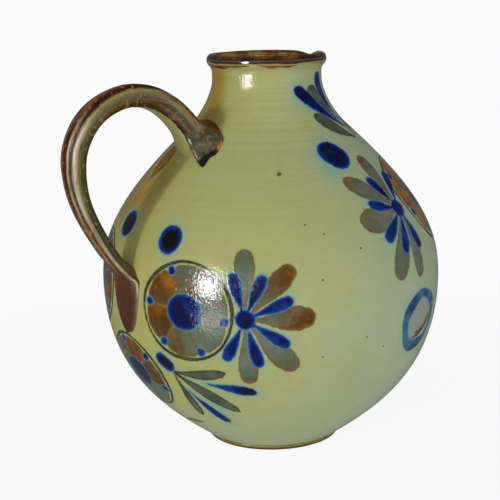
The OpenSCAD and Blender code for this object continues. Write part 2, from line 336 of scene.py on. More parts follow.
def lobe(place, degrees, size, tones):
    """A broad lobe: from the heart to one rounded corner, across the outer edge and back."""
    path = [at_angle(degrees + turn, reach * size) for turn, reach, _ in ring_of_points]
    stroke("iron", place, path, [half_width * size for _, _, half_width in ring_of_points], tones)


def rosette(place, radius=29.0, first=51, brown_side=170, brown=0.45):
    """A rosette: a dark ring, lobes round a blue heart, and blue dots between their tips. The lobes
    are browner towards one side."""
    size = radius / 29
    ring("green", place, radius, 0.95)
    for k in range(lobes):
        degrees = first + (k + 0.5) * 360 / lobes
        browner = brown + 0.42 * math.cos(math.radians(degrees - brown_side))
        lobe(place, degrees, size, (browner - 0.08, browner + 0.08))
        dot_place = at_angle(first + k * 360 / lobes, 24.4 * size)
        stroke("cobalt", place, [dot_place, dot_place * 1.02], [2.3, 2.4], (0.3, 0.3))
    dot("cobalt", place, 2 * rosette_heart, rosette_heart - 0.6, tones=(0.62, 0.62))


def mirrored(place):
    """The place across the plane of the handle and the lip."""
    return (-place[0], place[1])


handle_rosette, handle_daisy = (-158.0, 122.9), (-138.0, 120.8)
rosette(handle_rosette)
daisy(handle_daisy, brown=[(89, 38.5, 6.1, 0.20), (46, 39.0, 6.2, 0.62), (-1, 37.2, 7.3, 0.64),
                           (-50, 39.8, 7.0, 0.30), (-91, 39.9, 5.6, 0.24)],
      blue=[(108, 27), (69, 27), (25, 29), (-31, 29), (-74, 30), (-114, 28)])
lip_rosette, lip_daisy = (-46.5, 178.5), (-72.5, 175.5)
rosette(lip_rosette, radius=30, first=20, brown_side=150, brown=0.85)
daisy(lip_daisy, brown=[(92, 38, 5.8, 0.28), (139, 36, 7.0, 0.34), (187, 34, 8.0, 0.26),
                        (239, 46, 6.6, 0.20), (268, 43, 5.2, 0.18)],
      blue=[(117, 25), (168, 24), (218, 30), (249, 29), (285, 27), (66, 27)])
print("strokes so far:", len(strokes))

# %% [markdown]
# Sprigs fan out from one point. The last flowers, on the side that the handle or the jug itself
# hides, follow the same rules, mirrored across the handle's plane with small differences, as
# a painter repeats a pattern round a jug.


# %% Sprigs, dots and the far side
def sprig(place, leaves, side=1):
    """Leaves as (pigment, start, tip, half-width, widest share, bend), fanned from a place."""
    for pigment, start, tip, half_width, widest, bend in leaves:
        petal(pigment, place, (side * start[0], start[1]), (side * tip[0], tip[1]), half_width, widest,
              side * bend, (0.3, 0.5))


low_leaves = [("green", (0, 0), (36, 3.5), 3.4, 0.62, -0.05),
              ("green", (1, -1), (34, -29), 4.6, 0.6, 0.03),
              ("green", (0, -2), (5, -38), 3.2, 0.66, 0.05),
              ("cobalt", (22, -6), (50, -10.5), 3.6, 0.7, 0.0),
              ("cobalt", (7, -14), (21, -43), 3.3, 0.72, 0.02),
              ("green", (-20, -53), (0, -48.5), 1.8, 0.5, 0.05)]
neck_leaves = [("cobalt", (1, 8), (-25.5, 38.0), 4.6, 0.82, 0.03),
               ("green", (0, 10), (-14, 37.5), 5.0, 0.74, 0.03),
               ("cobalt", (2, 14), (-4.5, 46), 4.2, 0.8, 0.04),
               ("green", (-1, -1), (-21.0, 19.0), 6.0, 0.62, 0.05),
               ("green", (1, 0), (14, 30), 3.8, 0.6, -0.05)]
low_sprig, neck_sprig = (-166.0, 84.0), (-58.0, 228.0)
sprig(low_sprig, low_leaves)
sprig(neck_sprig, neck_leaves)
dot("cobalt", (-168.5, 89.4), 14, 4.6, -38)
dot("cobalt", (-92.0, 217.4), 21.5, 8.8, -48, tones=(0.78, 0.78))
dot("cobalt", (-166.3, 163.2), 17.4, 7.9, 80)
dot("cobalt", (167.3, 167.4), 16.5, 7.6, 95)
petal("iron", (160.5, 210.5), (1, -12.5), (-1, 12.5), 7.6, 0.5, tones=(0.9, 1.0))

low_rosette, far_rosette = (172.0, 75.0), (150.5, 131.0)
rosette(low_rosette, radius=26.5, first=40, brown_side=60, brown=0.4)
rosette(far_rosette, first=75, brown_side=20)
daisy((129.5, 128.0), brown=[(91, 38, 5.0, 0.6), (134, 39, 5.4, 0.7), (181, 38, 6.6, 0.7),
                             (230, 41, 6.0, 0.5), (271, 39, 5.0, 0.6)],
      blue=[(72, 27), (111, 27), (155, 29), (211, 29), (254, 30), (294, 28)])
sprig((152.0, 88.0), low_leaves, side=-1)
sprig(mirrored(neck_sprig), neck_leaves, side=-1)
dot("cobalt", (143.0, 94.0), 14, 4.6, -140)
stains = [(99, 212, 26, 10, 80), (94, 258, 16, 7, 90), (152, 62, 30, 7, 62), (62, 84, 26, 8, 70),
          (157, 78, 20, 8, 120)]
for side in (-1, 1):
    for degrees, height_up, length, half_width, lean in stains:
        dot("stain", (side * degrees, height_up), length, half_width, side * lean)
dot("cobalt", (90.0, 218.5), 20, 7.6, -130)

# %% [markdown]
# On each side of the belly a blue ring holds a small brown twig, and a rosette follows it. Under
# the lip the lip's flowers are mirrored, and one daisy with two sprigs stands in the middle.

# %% Belly rings and the flowers under the lip
for side in (-1, 1):
    place = (side * 71.6, 106.3)
    ring("cobalt", place, 16.5, 3.0, 0.8, (-1.0, -1.0))
    dot("wash", place, 30, 15)
    petal("iron", place, (10 * side, -10.5), (-13.5 * side, 1.5), 2.0, 0.5, 0.12 * side, (0.62, 0.66))
    petal("iron", place, (5 * side, -7), (-1 * side, -10.5), 1.6, 0.5, 0.1, (0.62, 0.66))
    rosette((side * 33.5, 112.0), first=15, brown_side=90 + 60 * side)
rosette(mirrored(lip_rosette), radius=30, first=100, brown_side=30)
daisy(mirrored(lip_daisy), brown=[(88, 38, 4.8, 0.6), (41, 36, 5.6, 0.65), (-7, 37, 7.6, 0.6),
                                  (-59, 45, 5.4, 0.55), (-90, 42, 4.4, 0.5)],
      blue=[(64, 25), (16, 24), (-36, 30), (-68, 29), (-104, 27), (114, 27)])
daisy((0.0, 150.0), brown=[(k * 45 + 22, 31, 5.0, 0.6) for k in range(8)],
      blue=[(k * 45, 23) for k in range(8)])
sprig((-8.0, 84.0), low_leaves)
sprig((8.0, 84.0), low_leaves, side=-1)
dot("cobalt", (0.0, 92.0), 15, 5.0, 90)
dot("cobalt", (0.0, 205.0), 17, 6.6, 90)
print("strokes in all:", len(strokes))

# %% [markdown]
# Each stroke is measured against the points near it. The distance is only worked out up to a
# farthest one, past which the glaze shows nothing of a stroke.


# %% Distances from the strokes
FARTHEST = 8.0


def stroke_distance(u, v, path, widths):
    """Distance to the chain's nearest tapering piece, which is the distance to its middle line less
    its half-width there, and the share of the way along the chain."""
    best, along = np.full(u.shape, np.inf), np.zeros(u.shape)
    for k in range(len(path) - 1):
        (au, av), (bu, bv) = path[k], path[k + 1]
        length2 = max((bu - au) ** 2 + (bv - av) ** 2, 1e-9)
        h = np.clip(((u - au) * (bu - au) + (v - av) * (bv - av)) / length2, 0, 1)
        d = np.hypot(u - au - h * (bu - au), v - av - h * (bv - av))
        d -= widths[k] + (widths[k + 1] - widths[k]) * h
        near = d < best
        best = np.where(near, d, best)
        along = np.where(near, (k + h) / (len(path) - 1), along)
    return best, along


def paint_fields(angle, height_up, radius):
    """For points at angles, lengths up the wall and radii: the distance to each pigment's edge in
    millimetres, and the tone of the nearest stroke of cobalt and of iron."""
    fields = {name: np.full(angle.shape, FARTHEST) for name in PIGMENTS}
    fields.update({name + "_tone": np.zeros(angle.shape) for name in ("cobalt", "iron")})
    for pigment, place, path, widths, tones in strokes:
        turn = (angle - math.radians(place[0]) + math.pi) % (2 * math.pi) - math.pi
        u, v = turn * radius / MM, height_up / MM - place[1]
        margin = widths.max() + FARTHEST
        close = ((u > path[:, 0].min() - margin) & (u < path[:, 0].max() + margin)
                 & (v > path[:, 1].min() - margin) & (v < path[:, 1].max() + margin))
        d, along = stroke_distance(u[close], v[close], path, widths)
        before = fields[pigment][close]
        if pigment in ("cobalt", "iron"):
            tone, shades = tones[0] + (tones[1] - tones[0]) * along, fields[pigment + "_tone"]
            shades[close] = np.where(d < before, tone, shades[close])
        fields[pigment][close] = np.minimum(before, d)
    return fields


# %% [markdown]
# Under the rim the iron glaze has run down a little in a few places. Each run is a bump in the
# lower edge of the rim's glaze, given by its angle, its width and its depth.

# %% Runs of the rim's glaze
rim_glaze_edge = 5.4 * MM
runs = [(172, 13, 1.9), (-176, 8, 1.7), (-160, 8, 1.2), (-149, 5, 0.8), (-126, 8, 1.9),
        (-110, 9, 1.7), (-60, 12, 1.0), (-25, 12, 2.2), (10, 14, 2.6), (48, 10, 1.4),
        (80, 12, 2.4), (112, 12, 1.6), (140, 14, 2.2)]


def run_distance(angle, z):
    """How far a point lies below the lower edge of the rim's glaze, in millimetres. The depth of
    the runs is a sum of bell curves."""
    depth = np.zeros_like(angle)
    for centre, width, deep in runs:
        turn = (np.degrees(angle) - centre + 180) % 360 - 180
        depth += deep * np.exp(-((turn / width) ** 2))
    return (rim_seat_z + rim_glaze_edge - z) / MM - depth


# %% [markdown]
# The belly, the shoulder and the neck are one wall on the real jug. They are three closed shells
# here, as the solids are, each with its dense painted outside and a plainer inside. The potter's
# fingers leave low rings in the clay, so the outside has them in its shape, not just in its
# colour. Each wall's rows of points are named as (outside, inside).


# %% Wall pieces
fine_pitch, slow_pitch, ring_depth = 1.15 * MM, 5.3 * MM, 0.010 * MM
ring_heights, ring_shares = [0.06, 0.15, 0.20, 0.24], [0.15, 0.5, 1.2, 1.5]
wall_turns, belly_rows, shoulder_rows, neck_rows = 448, (150, 34), (166, 34), (150, 40)


def throwing_rings(height_up, angle, z):
    """Finger rings: a fine sine up the wall that drifts round it, plus a slower, wider one, times a
    depth that is greatest on the neck and fades away down the belly."""
    drift = 0.9 * np.sin(2 * angle + height_up / (17 * MM))
    fine = np.sin(2 * math.pi * height_up / fine_pitch + 0.8 * np.sin(angle + height_up / (9 * MM)))
    slow = np.sin(2 * math.pi * height_up / slow_pitch + drift)
    share = np.interp(z, ring_heights, ring_shares)
    return share * ring_depth * (fine * (0.6 + 0.4 * np.sin(height_up / (11 * MM))) + 0.9 * slow)


def wall_shell(name, outer, inner, tips=(), turns=wall_turns, **facts):
    """A shell of revolution: outside from low to high, then inside from high to low. It closes on
    itself, or runs to a tip on the axis at each end."""
    section = np.vstack([outer, inner])
    points = turned(section, turns)
    angle = np.broadcast_to(full_turn(turns), points.shape[:2])
    length = np.interp(section[:, 1], outer_wall[:, 1], outer_arc)[:, None] + 0 * angle
    outside = (np.arange(len(section)) < len(outer))[:, None] & np.ones_like(angle, bool)
    way = np.vstack([np.gradient(outer, axis=0), np.gradient(inner, axis=0)])
    way /= np.linalg.norm(way, axis=1)[:, None]
    push = throwing_rings(length, angle, points[..., 2]) * outside
    points[..., 0] += push * way[:, 1][:, None] * np.cos(angle)
    points[..., 1] += push * way[:, 1][:, None] * np.sin(angle)
    points[..., 2] -= push * way[:, 0][:, None]
    radius = np.hypot(points[..., 0], points[..., 1])
    fields = paint_fields(angle, length, radius)
    for field in PIGMENTS:
        fields[field] = np.where(outside, fields[field], FARTHEST)
    flat = points.reshape(-1, 3)
    closing, fields = [], {key: values.ravel() for key, values in fields.items()}
    if tips:
        flat = np.vstack([flat, [[0, 0, tip] for tip in tips]])
        closing = end_fans(len(section), turns)
        fields = {key: np.append(values, [FARTHEST, FARTHEST]) for key, values in fields.items()}
    quads = net_faces(len(section), turns, wrap_rows=not tips)
    joints = [len(outer) - 1] if tips else [len(outer) - 1, len(section) - 1]
    crisp = np.concatenate([row_of(row, turns) for row in joints])
    return make_piece(name, flat, quads, closing, "celadon_glaze", fields=fields, flat=crisp, **facts)


low_outer = evenly(wall_line(low_line), belly_rows[0])
low_inner = wall_line(low_line, belly_wall, belly_wall)[::-1]
low_inner = evenly(low_inner[low_inner[:, 1] > floor_top + belly_wall / 2], belly_rows[1])
bend_r, bend_z = low_inner[-1]
floor_bend = np.array([[bend_r - 0.35 * belly_wall, bend_z - 0.42 * (bend_z - floor_top)],
                       [bend_r - belly_wall, floor_top + 0.12 * belly_wall],
                       [bend_r - 1.8 * belly_wall, floor_top], [0.4 * bend_r, floor_top]])
under = np.array([[0.3 * foot_r, foot_h], [0.7 * foot_r, foot_h], [foot_r - foot_w, foot_h],
                  [foot_r - 0.1 * foot_w, foot_h]])
belly_shell = wall_shell("belly_shell", np.vstack([under, low_outer]),
                         np.vstack([low_inner, floor_bend]), (foot_h, floor_top), replaces=["belly"])

high_outer = evenly(wall_line(up_line), shoulder_rows[0])
high_inner = evenly(wall_line(up_line, belly_wall, shoulder_wall)[::-1], shoulder_rows[1])
shoulder_shell = wall_shell("shoulder_shell", high_outer, high_inner, replaces=["shoulder"])

neck_outer = evenly(np.vstack([wall_line(neck_line), [[neck_r, rim_seat_z]]]), neck_rows[0])
neck_inner = evenly(np.vstack([[[neck_r - neck_wall, rim_seat_z]],
                               wall_line(neck_line, shoulder_wall, neck_wall)[::-1]]), neck_rows[1])
neck_shell = wall_shell("neck_shell", neck_outer, neck_inner, replaces=["neck"])

# %% [markdown]
# The rim is a roll of clay, folded out and smoothed with a wet leather. Its section is a chain of
# two S-curves and a roll, and one side of it is pulled down and out into a small pouring lip.

# %% Rim and lip
rim_h = jug_h - rim_seat_z
roll_w = 0.8 * (neck_wall + rim_r - neck_r)
neck_in_r = neck_r - neck_wall
rim_wide_z, rim_inner_z = rim_seat_z + 0.66 * rim_h, rim_seat_z + 0.6 * rim_h
lip_dip, lip_out, lip_w = 2.2 * MM, 1.8 * MM, 14 * MM
lip_angle = lip_w / rim_r
uneven = 0.25 * MM
rim_turns, outside_rows, roll_rows, inside_rows = 400, 18, 24, 14


def s_curve(low, high, count):
    """Path between two points that leaves and reaches them upright: the guides lie half-way up."""
    middle = (low[1] + high[1]) / 2
    return curve([low, (low[0], middle), (high[0], middle), high], np.linspace(0, 1, count))


def rim_section():
    """Outside up, over the roll and down inside, as (radius, height). The roll is a half circle
    stretched up to the jug's top."""
    a = np.linspace(0, math.pi, roll_rows + 2)[1:-1]
    low = rim_wide_z + (rim_inner_z - rim_wide_z) * a / math.pi
    roll = np.stack([rim_r - roll_w / 2 + roll_w / 2 * np.cos(a), low + (jug_h - low) * np.sin(a)], 1)
    return np.vstack([s_curve((neck_r, rim_seat_z), (rim_r, rim_wide_z), outside_rows), roll,
                      s_curve((rim_r - roll_w, rim_inner_z), (neck_in_r, rim_seat_z), inside_rows)])


def pull_lip(points):
    """Dips and pushes the rim outward near +X, more at the top: both fall off as bell curves. The
    hand-rolled edge also rises and falls a little on its way round."""
    angle = np.arctan2(points[..., 1], points[..., 0])
    lift = ((points[..., 2] - rim_seat_z) / rim_h).clip(0, 1) ** 2
    out = lip_out * lift * np.exp(-((angle / lip_angle) ** 2))
    dip = lip_dip * lift * np.exp(-((2 * angle / lip_angle) ** 2))
    dip = dip + uneven * lift * (1 + np.sin(3 * angle + 0.8) * np.cos(angle))
    radius = np.hypot(points[..., 0], points[..., 1]) + out
    return np.stack([radius * np.cos(angle), radius * np.sin(angle), points[..., 2] - dip], -1)


rim_net = pull_lip(turned(rim_section(), rim_turns))
rim_rows = len(rim_net)
rim_run = run_distance(np.arctan2(rim_net[..., 1], rim_net[..., 0]), rim_net[..., 2])
rim_run[outside_rows:] = -FARTHEST
rim_quads = net_faces(rim_rows, rim_turns, wrap_rows=True)
rim_roll = make_piece("rim_roll", rim_net.reshape(-1, 3), rim_quads, slot="iron_glaze",
                      replaces=["rim"], fields={"run": rim_run.ravel()},
                      flat=row_of(rim_rows - 1, rim_turns))

# %% [markdown]
# The foot is a low ring with a rounded outer edge. It was wiped clean of glaze, so it shows bare
# clay with a skin of brown slip.


# %% Foot ring
foot_turns = 240


def foot_section():
    """Inside wall, standing face, outer edge rounded by a quarter circle, and the seat under the
    belly."""
    edge = min(foot_round, foot_h)
    a = np.linspace(-math.pi / 2, 0, 9)
    rounded = np.array([foot_r - edge, edge]) + edge * np.stack([np.cos(a), np.sin(a)], 1)
    inner_r = foot_r - foot_w
    inside = np.array([[inner_r, foot_h], [inner_r, 0.4 * foot_h], [inner_r + 0.5 * MM, 0.3 * MM],
                       [inner_r + 1.0 * MM, 0.0], [foot_r - foot_w / 2, 0.0]])
    seat = np.array([[foot_r, foot_h], [foot_r - foot_w / 2, foot_h]])
    return np.vstack([inside, rounded, seat])


foot_net = turned(foot_section(), foot_turns)
foot_quads = net_faces(len(foot_net), foot_turns, wrap_rows=True)
foot_band = make_piece("foot_band", foot_net.reshape(-1, 3), foot_quads, slot="bare_clay",
                       replaces=["foot_ring"])

# %% [markdown]
# A handle is pulled: a lump of wet clay is stroked into a strap, bent over, and pressed onto the
# jug at both ends. The strap's middle line is three curves end to end, in the plane of the
# handle. Its outline is a soft oval with two grooves from the fingers along its outer face.

# %% Middle line of the handle
root_drop, root_sink = 8.5 * MM, 3 * MM
rise, top_r, reach, drop, end_up = 24.8 * MM, 103 * MM, 33.4 * MM, 10 * MM, 12.2 * MM
strap_w = np.array([22, 19.4, 16.8, 14]) * MM
strap_t = np.array([16.4, 13, 12.2, 8.2]) * MM
groove_d, side_groove_d = 1.3 * MM, 0.6 * MM
root_aside, tongue_aside = 3.8 * MM, 7.3 * MM
root_angle, strap_end_angle = math.radians(45), math.radians(51.6)
guide_share = [0.23, 0.644, 0.514, 0.548, 0.206, 0.651]

seat_line = wall_line(up_line, root_sink, root_sink)
seat_steps = np.linspace(0, 1, len(seat_line))
seat_t = np.interp(shoulder_z - root_drop, wall_line(up_line)[:, 1], seat_steps)
root_at = np.array([np.interp(seat_t, seat_steps, seat_line[:, k]) for k in (0, 1)])
top_at = np.array([top_r, shoulder_z + rise])
far_at = np.array([belly_r + reach, shoulder_z - drop])
end_at = np.array([belly_r, belly_z + end_up])
strap_lines = [
    [root_at, root_at + guide_share[0] * (top_at[1] - root_at[1]) * toward(root_angle),
     top_at - [guide_share[1] * (top_at[0] - root_at[0]), 0], top_at],
    [top_at, top_at + [guide_share[2] * (far_at[0] - top_at[0]), 0],
     far_at + guide_share[3] * (top_at[1] - far_at[1]) * up, far_at],
    [far_at, far_at - guide_share[4] * (far_at[1] - end_at[1]) * up,
     end_at + guide_share[5] * (far_at[1] - end_at[1]) * toward(strap_end_angle), end_at]]
root_lean = math.asin(root_aside / root_at[0])
tongue_lean = math.asin(tongue_aside / end_at[0])


def middle_line(q):
    """Points and directions of the middle line, for places q from 0 at the shoulder to 3."""
    leg = np.minimum(np.floor(q), 2).astype(int)
    at, way = np.zeros((len(q), 2)), np.zeros((len(q), 2))
    for k, line in enumerate(strap_lines):
        on = leg == k
        at[on], way[on] = curve(line, q[on] - k), curve_direction(line, q[on] - k)
    return at, way


print("the handle's root is at", root_at.round(4), "and its lower end at", end_at.round(4))

# %% [markdown]
# The outline is set square to the middle line at each step. The handle leans a little, its root
# to one side and its lower end to the other, so each step is also turned about the jug's axis.


# %% Outline of the strap
strap_sides = 144


def bell(x, centre, spread):
    """Bell curve: e to the power of minus the square of (the distance from the centre over the
    spread)."""
    return np.exp(-(((x - centre) / spread) ** 2))


def strap_outline(half_w, out_t, in_t, groove_share):
    """Rows of (sideways, outward) points: the half-width times the cosine's size to the power 0.8,
    and the thickness times the sine's, each with its sign, less the grooves, which are bell curves
    of the angle. Angle 0 is the far side, 90 the outer face and 180 the near side, which the
    photograph shows. The first column is the middle of the inner face."""
    a = (np.arange(strap_sides) / strap_sides * 360 - 90)[None, :]
    rad = np.radians(a)
    soft = lambda c: np.sign(c) * np.abs(c) ** 0.8
    side = half_w[:, None] * soft(np.cos(rad))
    out = np.where(np.sin(rad) > 0, out_t[:, None], in_t[:, None]) * soft(np.sin(rad))
    groove = groove_d * (bell(a, 62, 12) + bell(a, 118, 12))
    groove = groove + side_groove_d * (bell(a, 0, 16) + bell(a, 180, 16))
    groove = groove * groove_share[:, None]
    return np.stack([side - groove * np.cos(rad), out - groove * np.sin(rad)], -1)


def swept(at, way, lean, outline):
    """Sets each outline square to the middle line and turns it about the jug's axis by the lean."""
    r = at[:, None, 0] - way[:, None, 1] * outline[..., 1]
    z = at[:, None, 1] + way[:, None, 0] * outline[..., 1]
    side, c, s = outline[..., 0], np.cos(lean)[:, None], np.sin(lean)[:, None]
    return np.stack([-r * c - side * s, -r * s + side * c, z], -1)


def pulled_marks(q):
    """Fine lines along the strap, left by wet fingers: waves round the outline that drift along it,
    and a slow unevenness of the pull."""
    a = full_turn(strap_sides)[None, :]
    q = q[:, None]
    lines = np.sin(23 * a + 1.3 * np.sin(2 * q)) + 0.7 * np.sin(37 * a + 2.1 * np.sin(1.4 * q + 1))
    return MM * (0.05 * lines + 0.16 * np.sin(4.1 * q + 2 * a) * np.sin(9.7 * q + a))


def strip_uv(along):
    """Corner coordinates of the net: the first runs along the strap, the second round its outline
    from 0 to 1, so the last column ends at 1 and doesn't jump back."""
    around = np.arange(strap_sides + 1) / strap_sides
    a, b = along[:-1, None], along[1:, None]
    low, high = around[None, :-1], around[None, 1:]
    shape = (len(along) - 1, strap_sides)
    corners = [(a, low), (a, high), (b, high), (b, low)]
    return np.stack([np.stack([np.broadcast_to(x, shape), np.broadcast_to(y, shape)], -1)
                     for x, y in corners], 2).reshape(-1, 4, 2)


def strap_piece(name, net, along, replaces):
    """A closed tube from a net of rings, with a fan over each end."""
    rows, sides = net.shape[:2]
    flat = np.vstack([net.reshape(-1, 3), net[0].mean(0), net[-1].mean(0)])
    return make_piece(name, flat, net_faces(rows, sides), end_fans(rows, sides), "iron_glaze",
                      replaces, round_uv=strip_uv(along))


def smooth_step(x):
    """Three times the square less twice the cube, between 0 and 1, and level outside."""
    x = np.clip(x, 0, 1)
    return x * x * (3 - 2 * x)


# %% [markdown]
# At the shoulder the strap's end is pressed out into a soft collar. At the belly it is thumbed
# down into a hollow tongue with a raised edge. Both are the same sweep with an outline that
# changes on the way, so the three pieces meet without a step.

# %% Collar, strap and tongue
strap_from, strap_to = 0.42, 2.88
collar_w, collar_up, collar_down = 5.8 * MM, 15.4 * MM, 6.6 * MM
even_share, crown_angle, crown_spread, tail_angle, tail_spread = 0.38, 70, 30, 240, 13
tongue_w, tongue_l, tongue_t, tongue_hollow = 28 * MM, 34 * MM, 4.6 * MM, 1.8 * MM


def with_marks(net, q, share):
    """Pushes a net of rings in or out by the marks of the fingers, away from each ring's middle."""
    out = net - net.mean(1, keepdims=True)
    out /= np.linalg.norm(out, axis=2, keepdims=True)
    return net + out * (pulled_marks(q) * share[:, None])[..., None]


def handle_net(q, spread):
    """Rings of the strap at places q. Where spread is above 0 the outline widens, and two bell-shaped
    pushes outward draw it up the neck into a crown and down the near side into a tail."""
    at, way = middle_line(q)
    lean = root_lean - (root_lean + tongue_lean) * q / 3
    half_w, half_t = np.interp(q, range(4), strap_w) / 2, np.interp(q, range(4), strap_t) / 2
    outline = strap_outline(half_w + collar_w * spread, half_t + even_share * collar_up * spread,
                            half_t, 1 - spread)
    a = np.arange(outline.shape[1]) / outline.shape[1] * 360 - 90
    push = (1 - even_share) * collar_up * bell(a, crown_angle, crown_spread)
    push = spread[:, None] * (push + collar_down * bell(a, tail_angle, tail_spread))
    outline = outline + push[..., None] * np.stack([np.cos(np.radians(a)), np.sin(np.radians(a))], -1)
    return with_marks(swept(at, way, lean, outline), q, 1 - 0.5 * spread)


collar_q = np.linspace(0, strap_from, 70)
collar_spread = smooth_step(np.minimum((1 - collar_q / strap_from) / 0.7, 1))
collar_roll = strap_piece("collar_roll", handle_net(collar_q, collar_spread), collar_q / 3,
                          ["handle_collar"])
strap_q = np.linspace(strap_from, strap_to, 330)
strap_ribbed = strap_piece("strap_ribbed", handle_net(strap_q, np.zeros_like(strap_q)), strap_q / 3,
                           ["handle_strap"])


def tongue_net(lead=14, leaf=110):
    """The strap's last rings, then a leaf down the belly. It widens by a smooth step, thins evenly
    and narrows to its tip by the square root of 1 less the cube of the way down. Its outer face
    has a hollow, a parabola across it, and bends round the belly by half the square of the
    sideways distance over the belly's radius."""
    lead_q = np.linspace(strap_to, 3, lead, endpoint=False)
    lead_at, lead_way = middle_line(lead_q)
    low_arc = wall_line(low_line)
    tip_t = np.interp(end_at[1] - tongue_l, low_arc[:, 1], np.linspace(0, 1, len(low_arc)))
    tip_at, tip_way = curve(low_line, [tip_t])[0], -curve_direction(low_line, [tip_t])[0]
    leaf_line = [end_at, end_at - 0.08 * tongue_l * toward(strap_end_angle),
                 tip_at - 0.5 * tongue_l * tip_way, tip_at]
    t = np.linspace(0, 1, leaf)
    at = np.vstack([lead_at, curve(leaf_line, t)])
    way = np.vstack([lead_way, curve_direction(leaf_line, t)])
    t = np.concatenate([np.zeros(lead), t])
    step = np.concatenate([np.arange(lead) / lead * 5, 5 + np.linspace(0, 1, leaf) * 17]) / 22
    grow = smooth_step(step / 0.42)
    narrowing = np.sqrt(np.clip(1 - t**3, 0, 1))
    half_w = np.maximum((strap_w[3] * (1 - grow) + tongue_w * grow) / 2 * narrowing, tongue_t / 4)
    out_t = strap_t[3] / 2 * (1 - t) + tongue_t / 2 * t
    outline = strap_outline(half_w, out_t, strap_t[3] / 2 * (1 + grow), 1 - grow)
    share = outline[..., 0] / half_w[:, None]
    hollow = tongue_hollow * (grow * narrowing)[:, None] * (1 - share**2).clip(0)
    wrap = grow[:, None] * outline[..., 0] ** 2 / (2 * belly_r)
    outline[..., 1] -= np.where(outline[..., 1] < 0, 0, hollow + wrap)
    q = np.concatenate([lead_q, 3 + 0.3 * t[lead:]])
    lean = np.where(q < 3, root_lean - (root_lean + tongue_lean) * q / 3, -tongue_lean)
    return with_marks(swept(at, way, lean, outline), q, 1 - 0.6 * grow), q / 3


tongue_rings, tongue_along = tongue_net()
tongue_leaf = strap_piece("tongue_leaf", tongue_rings, tongue_along, ["handle_tongue"])

# %% [markdown]
# Materials are small graphs of nodes. Two helpers keep them short: a graph adds nodes, lays coats
# of colour over each other and joins the shader, and a value is a number out of a node, so that a
# formula reads as it does on paper.


# %% Helpers for materials
class Value:
    """A number out of a node. A sum with it adds a node, and so does a fade."""

    def __init__(self, graph, socket):
        self.graph, self.socket = graph, socket

    def maths(self, operation, other=0.0):
        """The node for one sum with another value or a plain number."""
        return self.graph.value("Math", {0: self, 1: other}, operation=operation)

    __add__ = partialmethod(maths, "ADD")
    __sub__ = partialmethod(maths, "SUBTRACT")
    __mul__ = partialmethod(maths, "MULTIPLY")
    __truediv__ = partialmethod(maths, "DIVIDE")
    least = partialmethod(maths, "MINIMUM")
    most = partialmethod(maths, "MAXIMUM")
    without_sign = partialmethod(maths, "ABSOLUTE")

    def fade(self, start, end, low=0.0, high=1.0):
        """Goes smoothly from low, where the value is at start, to high, where it is at end."""
        ends = {"Value": self, "From Min": start, "From Max": end, "To Min": low, "To Max": high}
        return self.graph.value("MapRange", ends, interpolation_type="SMOOTHSTEP")


class Graph:
    """The nodes of one material or world, with short names for what a finish needs."""

    def __init__(self, owner):
        self.owner = owner
        owner.use_nodes = True
        self.tree = owner.node_tree
        self.tree.nodes.clear()

    def add(self, kind, inputs=None, **settings):
        """Adds one node. Inputs are numbers, colours, values or links from other nodes."""
        node = self.tree.nodes.new("ShaderNode" + kind)
        for key, value in settings.items():
            setattr(node, key, value)
        for key, value in (inputs or {}).items():
            value = value.socket if isinstance(value, Value) else value
            if isinstance(value, bpy.types.NodeSocket):
                self.tree.links.new(value, node.inputs[key])
            else:
                node.inputs[key].default_value = value
        return node

    def value(self, kind, inputs=None, output=0, **settings):
        """The number that a new node gives."""
        return Value(self, self.add(kind, inputs, **settings).outputs[output])

    def axes(self, vector):
        """The three numbers of a vector."""
        return [Value(self, part) for part in self.add("SeparateXYZ", {"Vector": vector}).outputs]

    def field(self, name):
        """A field that goes with the mesh."""
        return self.value("Attribute", output="Fac", attribute_name=name)

    def stretched(self, vector, stretch):
        """A vector stretched along each axis."""
        return self.add("Mapping", {"Vector": vector, "Scale": stretch}).outputs[0]

    def place(self, stretch=(1, 1, 1)):
        """Object coordinates in metres, stretched along each axis."""
        return self.stretched(self.add("TexCoord").outputs["Object"], stretch)

    def length(self, vector):
        """The length of a vector."""
        return self.value("VectorMath", {0: vector}, "Value", operation="LENGTH")

    def noise(self, vector, scale, detail=3.0, roughness=0.5):
        """Soft noise from 0 to 1."""
        spots = {"Vector": vector, "Scale": scale, "Detail": detail, "Roughness": roughness}
        return self.value("TexNoise", spots, "Fac")

    def mix(self, share, under, over):
        """Lays one colour over another by a share. Colours are links, or eye-values to 255."""
        under, over = (rgb(*c) if isinstance(c, tuple) and len(c) == 3 else c for c in (under, over))
        return self.add("Mix", {0: share, 6: under, 7: over}, data_type="RGBA").outputs[2]

    def coats(self, colour, *coats):
        """Lays coats of (share, colour) over a colour, one after another."""
        for share, over in coats:
            colour = self.mix(share, colour, over)
        return colour

    def bands(self, share, stops):
        """Colours along a share, from (place, (red, green, blue)) stops in rising order."""
        node = self.add("ValToRGB", {0: share})
        elements = node.color_ramp.elements
        for element, (place, shade) in ((elements[0], stops[0]), (elements[-1], stops[-1])):
            element.position, element.color = place, rgb(*shade)
        for place, shade in stops[1:-1]:
            elements.new(place).color = rgb(*shade)
        return node.outputs[0]

    def finish(self, colour, rough, bumps, gloss):
        """Joins the bumps, each a height, a distance in metres and a strength, and the shader.
        The gloss is (IOR, specular level)."""
        normal = {}
        for height, distance, strength in bumps:
            inputs = {"Height": height, "Distance": distance, "Strength": strength, **normal}
            normal = {"Normal": self.add("Bump", inputs).outputs[0]}
        inputs = {"IOR": gloss[0], "Specular IOR Level": gloss[1], **normal}
        shader = self.add("BsdfPrincipled", {"Base Color": colour, "Roughness": rough, **inputs})
        self.add("OutputMaterial", {"Surface": shader.outputs[0]})
        print("material:", self.owner.name, len(self.tree.nodes), "nodes")
        return self.owner


